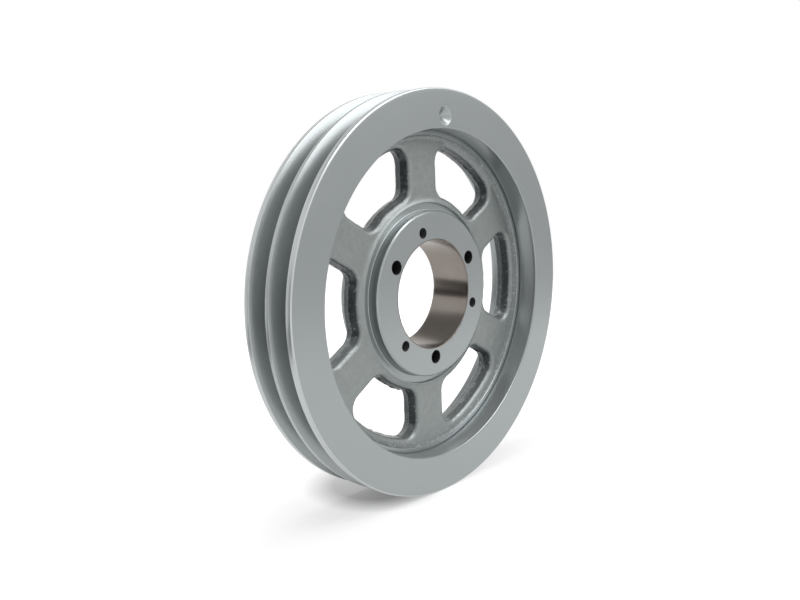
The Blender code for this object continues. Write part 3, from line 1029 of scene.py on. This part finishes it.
def floor_white():
    """Matte white with a glow for direct looks, faint at the contact and strongest far away."""
    material, shader, shade = new_finish("floor_white")
    across, along = axes_of(shade, place_on_part(shade))[:2]
    aside = across - SHADE_PLACE[0]
    behind = along - SHADE_PLACE[1]
    away = (aside * aside + behind * behind) ** 0.5
    glow = CONTACT_GLOW + OPEN_GLOW * ramp(shade, away, *OPEN_REACH)
    glow = glow + SHADE_SIDE_GLOW * ramp(shade, along, *SHADE_SIDE_REACH)
    glow = glow + FAR_GLOW * ramp(shade, away, *FAR_REACH)
    shade.feed(shader.inputs["Base Color"], FLOOR_TONE)
    shade.feed(shader.inputs["Roughness"], FLOOR_ROUGHNESS)
    shade.feed(shader.inputs["Specular IOR Level"], 0.0)
    glow = mixed(shade, seen_directly(shade) * glow, BLACK, WHITE)
    shade.feed(shader.inputs["Emission Color"], glow)
    shade.feed(shader.inputs["Emission Strength"], 1.0)
    return material


half = FLOOR_SIZE / 2
ground = -RIM_RADIUS
floor_corners = [(-half, -half, ground), (half, -half, ground), (half, half, ground), (-half, half, ground)]
sheet_of("floor", floor_corners, floor_white())
print("floor at", round(ground, 4))

# %% [markdown]
# ## Light
# The room is white to look at but dimmer as a source of light. Two soft lamps do the rest: one in
# front and to the right, whose glare lies in the upper grooves, and one overhead, which lights the
# table and the lips that face up. Paint this glossy shows what stands around it, so a few even
# cards are put where only reflections see them: a grey one beyond the table's front edge for the
# upper half of the faces, dark ones behind on the left for the bore and the grooves, and a dim
# ceiling high up behind for the lower half of the bore.

# %% Room, lamps and cards
ROOM_LIGHT = (0.34, 0.34, 0.34, 1.0)
LAMP_AIM = np.array([0.35, -0.74, 0.60])
LAMP_AWAY = 1.2
LAMP_SIZE = 1.0
LAMP_POWER = 8.0
OVERHEAD_AIM = np.array([-0.04, -0.12, 1.0])
OVERHEAD_AWAY = 1.6
OVERHEAD_SIZE = 1.3
OVERHEAD_POWER = 16.0
FRONT_GREY = 0.60
BACK_DARK = 0.02
CEILING_DIM = 0.29
FRONT_CARD = ((0.05, -0.60), (1.50, -0.17), 0.34)
BACK_CARD = ((-1.80, 1.74), (-2.60, 0.30), 0.36)
TABLE_EDGE = ((-0.22, 0.24), (-1.80, 1.36), (-2.60, 0.30), (-0.46, 0.03))
CEILING = ((-2.2, 0.5, 2.0), (2.2, 0.5, 2.0), (2.2, 1.95, 2.0), (-2.2, 1.95, 2.0))


def light_room():
    """A white world for direct looks and a dimmer one for lighting."""
    world = bpy.data.worlds.new("room")
    world.use_nodes = True
    bpy.context.scene.world = world
    shade = Shade(world.node_tree)
    background = world.node_tree.nodes["Background"]
    shade.feed(background.inputs["Color"], mixed(shade, seen_directly(shade), ROOM_LIGHT, WHITE))
    shade.feed(background.inputs["Strength"], 1.0)


def soft_lamp(name, aim, away, size, power):
    """A square lamp some way off in a direction, turned to face the pulley."""
    lamp = bpy.data.lights.new(name, 'AREA')
    lamp.size = size
    lamp.energy = power
    holder = bpy.data.objects.new(name, lamp)
    direction = mathutils.Vector(aim).normalized()
    holder.location = direction * away
    holder.rotation_euler = direction.to_track_quat('Z', 'Y').to_euler()
    bpy.context.scene.collection.objects.link(holder)


def mirror_card(name, corners, glow):
    """An even card that only reflections see: it neither lights the part nor shades the floor."""
    material, shader, shade = new_finish(name)
    shade.feed(shader.inputs["Base Color"], BLACK)
    shade.feed(shader.inputs["Specular IOR Level"], 0.0)
    shade.feed(shader.inputs["Emission Color"], WHITE)
    shade.feed(shader.inputs["Emission Strength"], glow)
    card = sheet_of(name, corners, material)
    card.visible_camera = False
    card.visible_diffuse = False
    card.visible_shadow = False


def standing(first, second, top):
    """Corners of an upright card over two points of the floor."""
    return [(*first, ground), (*second, ground), (*second, top), (*first, top)]


light_room()
soft_lamp("lamp", LAMP_AIM, LAMP_AWAY, LAMP_SIZE, LAMP_POWER)
soft_lamp("overhead", OVERHEAD_AIM, OVERHEAD_AWAY, OVERHEAD_SIZE, OVERHEAD_POWER)
mirror_card("front_card", standing(*FRONT_CARD), FRONT_GREY)
mirror_card("back_card", standing(*BACK_CARD), BACK_DARK)
table_corners = [(across, along, ground + MM) for across, along in TABLE_EDGE]
mirror_card("table_edge", table_corners, BACK_DARK)
mirror_card("ceiling", CEILING, CEILING_DIM)
print("lit")

# %% [markdown]
# ## Camera
# The camera stands to the left of the pulley's front, a little above its axis, and looks slightly
# down. The lens is a short one, so the near side of the rim looks larger than the far side.

# %% Camera and view
CAMERA_PLACE = (-0.38985, -0.33288, 0.06273)
CAMERA_DOWN = 7.508
CAMERA_RIGHT = 47.776
camera = bpy.data.cameras.new("camera")
camera.sensor_width = 36.0
camera.lens = 34.917
viewer = bpy.data.objects.new("camera", camera)
viewer.location = CAMERA_PLACE
viewer.rotation_euler = (math.radians(90 - CAMERA_DOWN), 0, math.radians(-CAMERA_RIGHT))
bpy.context.scene.collection.objects.link(viewer)
bpy.context.scene.camera = viewer
bpy.context.scene.view_settings.view_transform = 'Standard'
print("camera", [round(value, 3) for value in viewer.location])
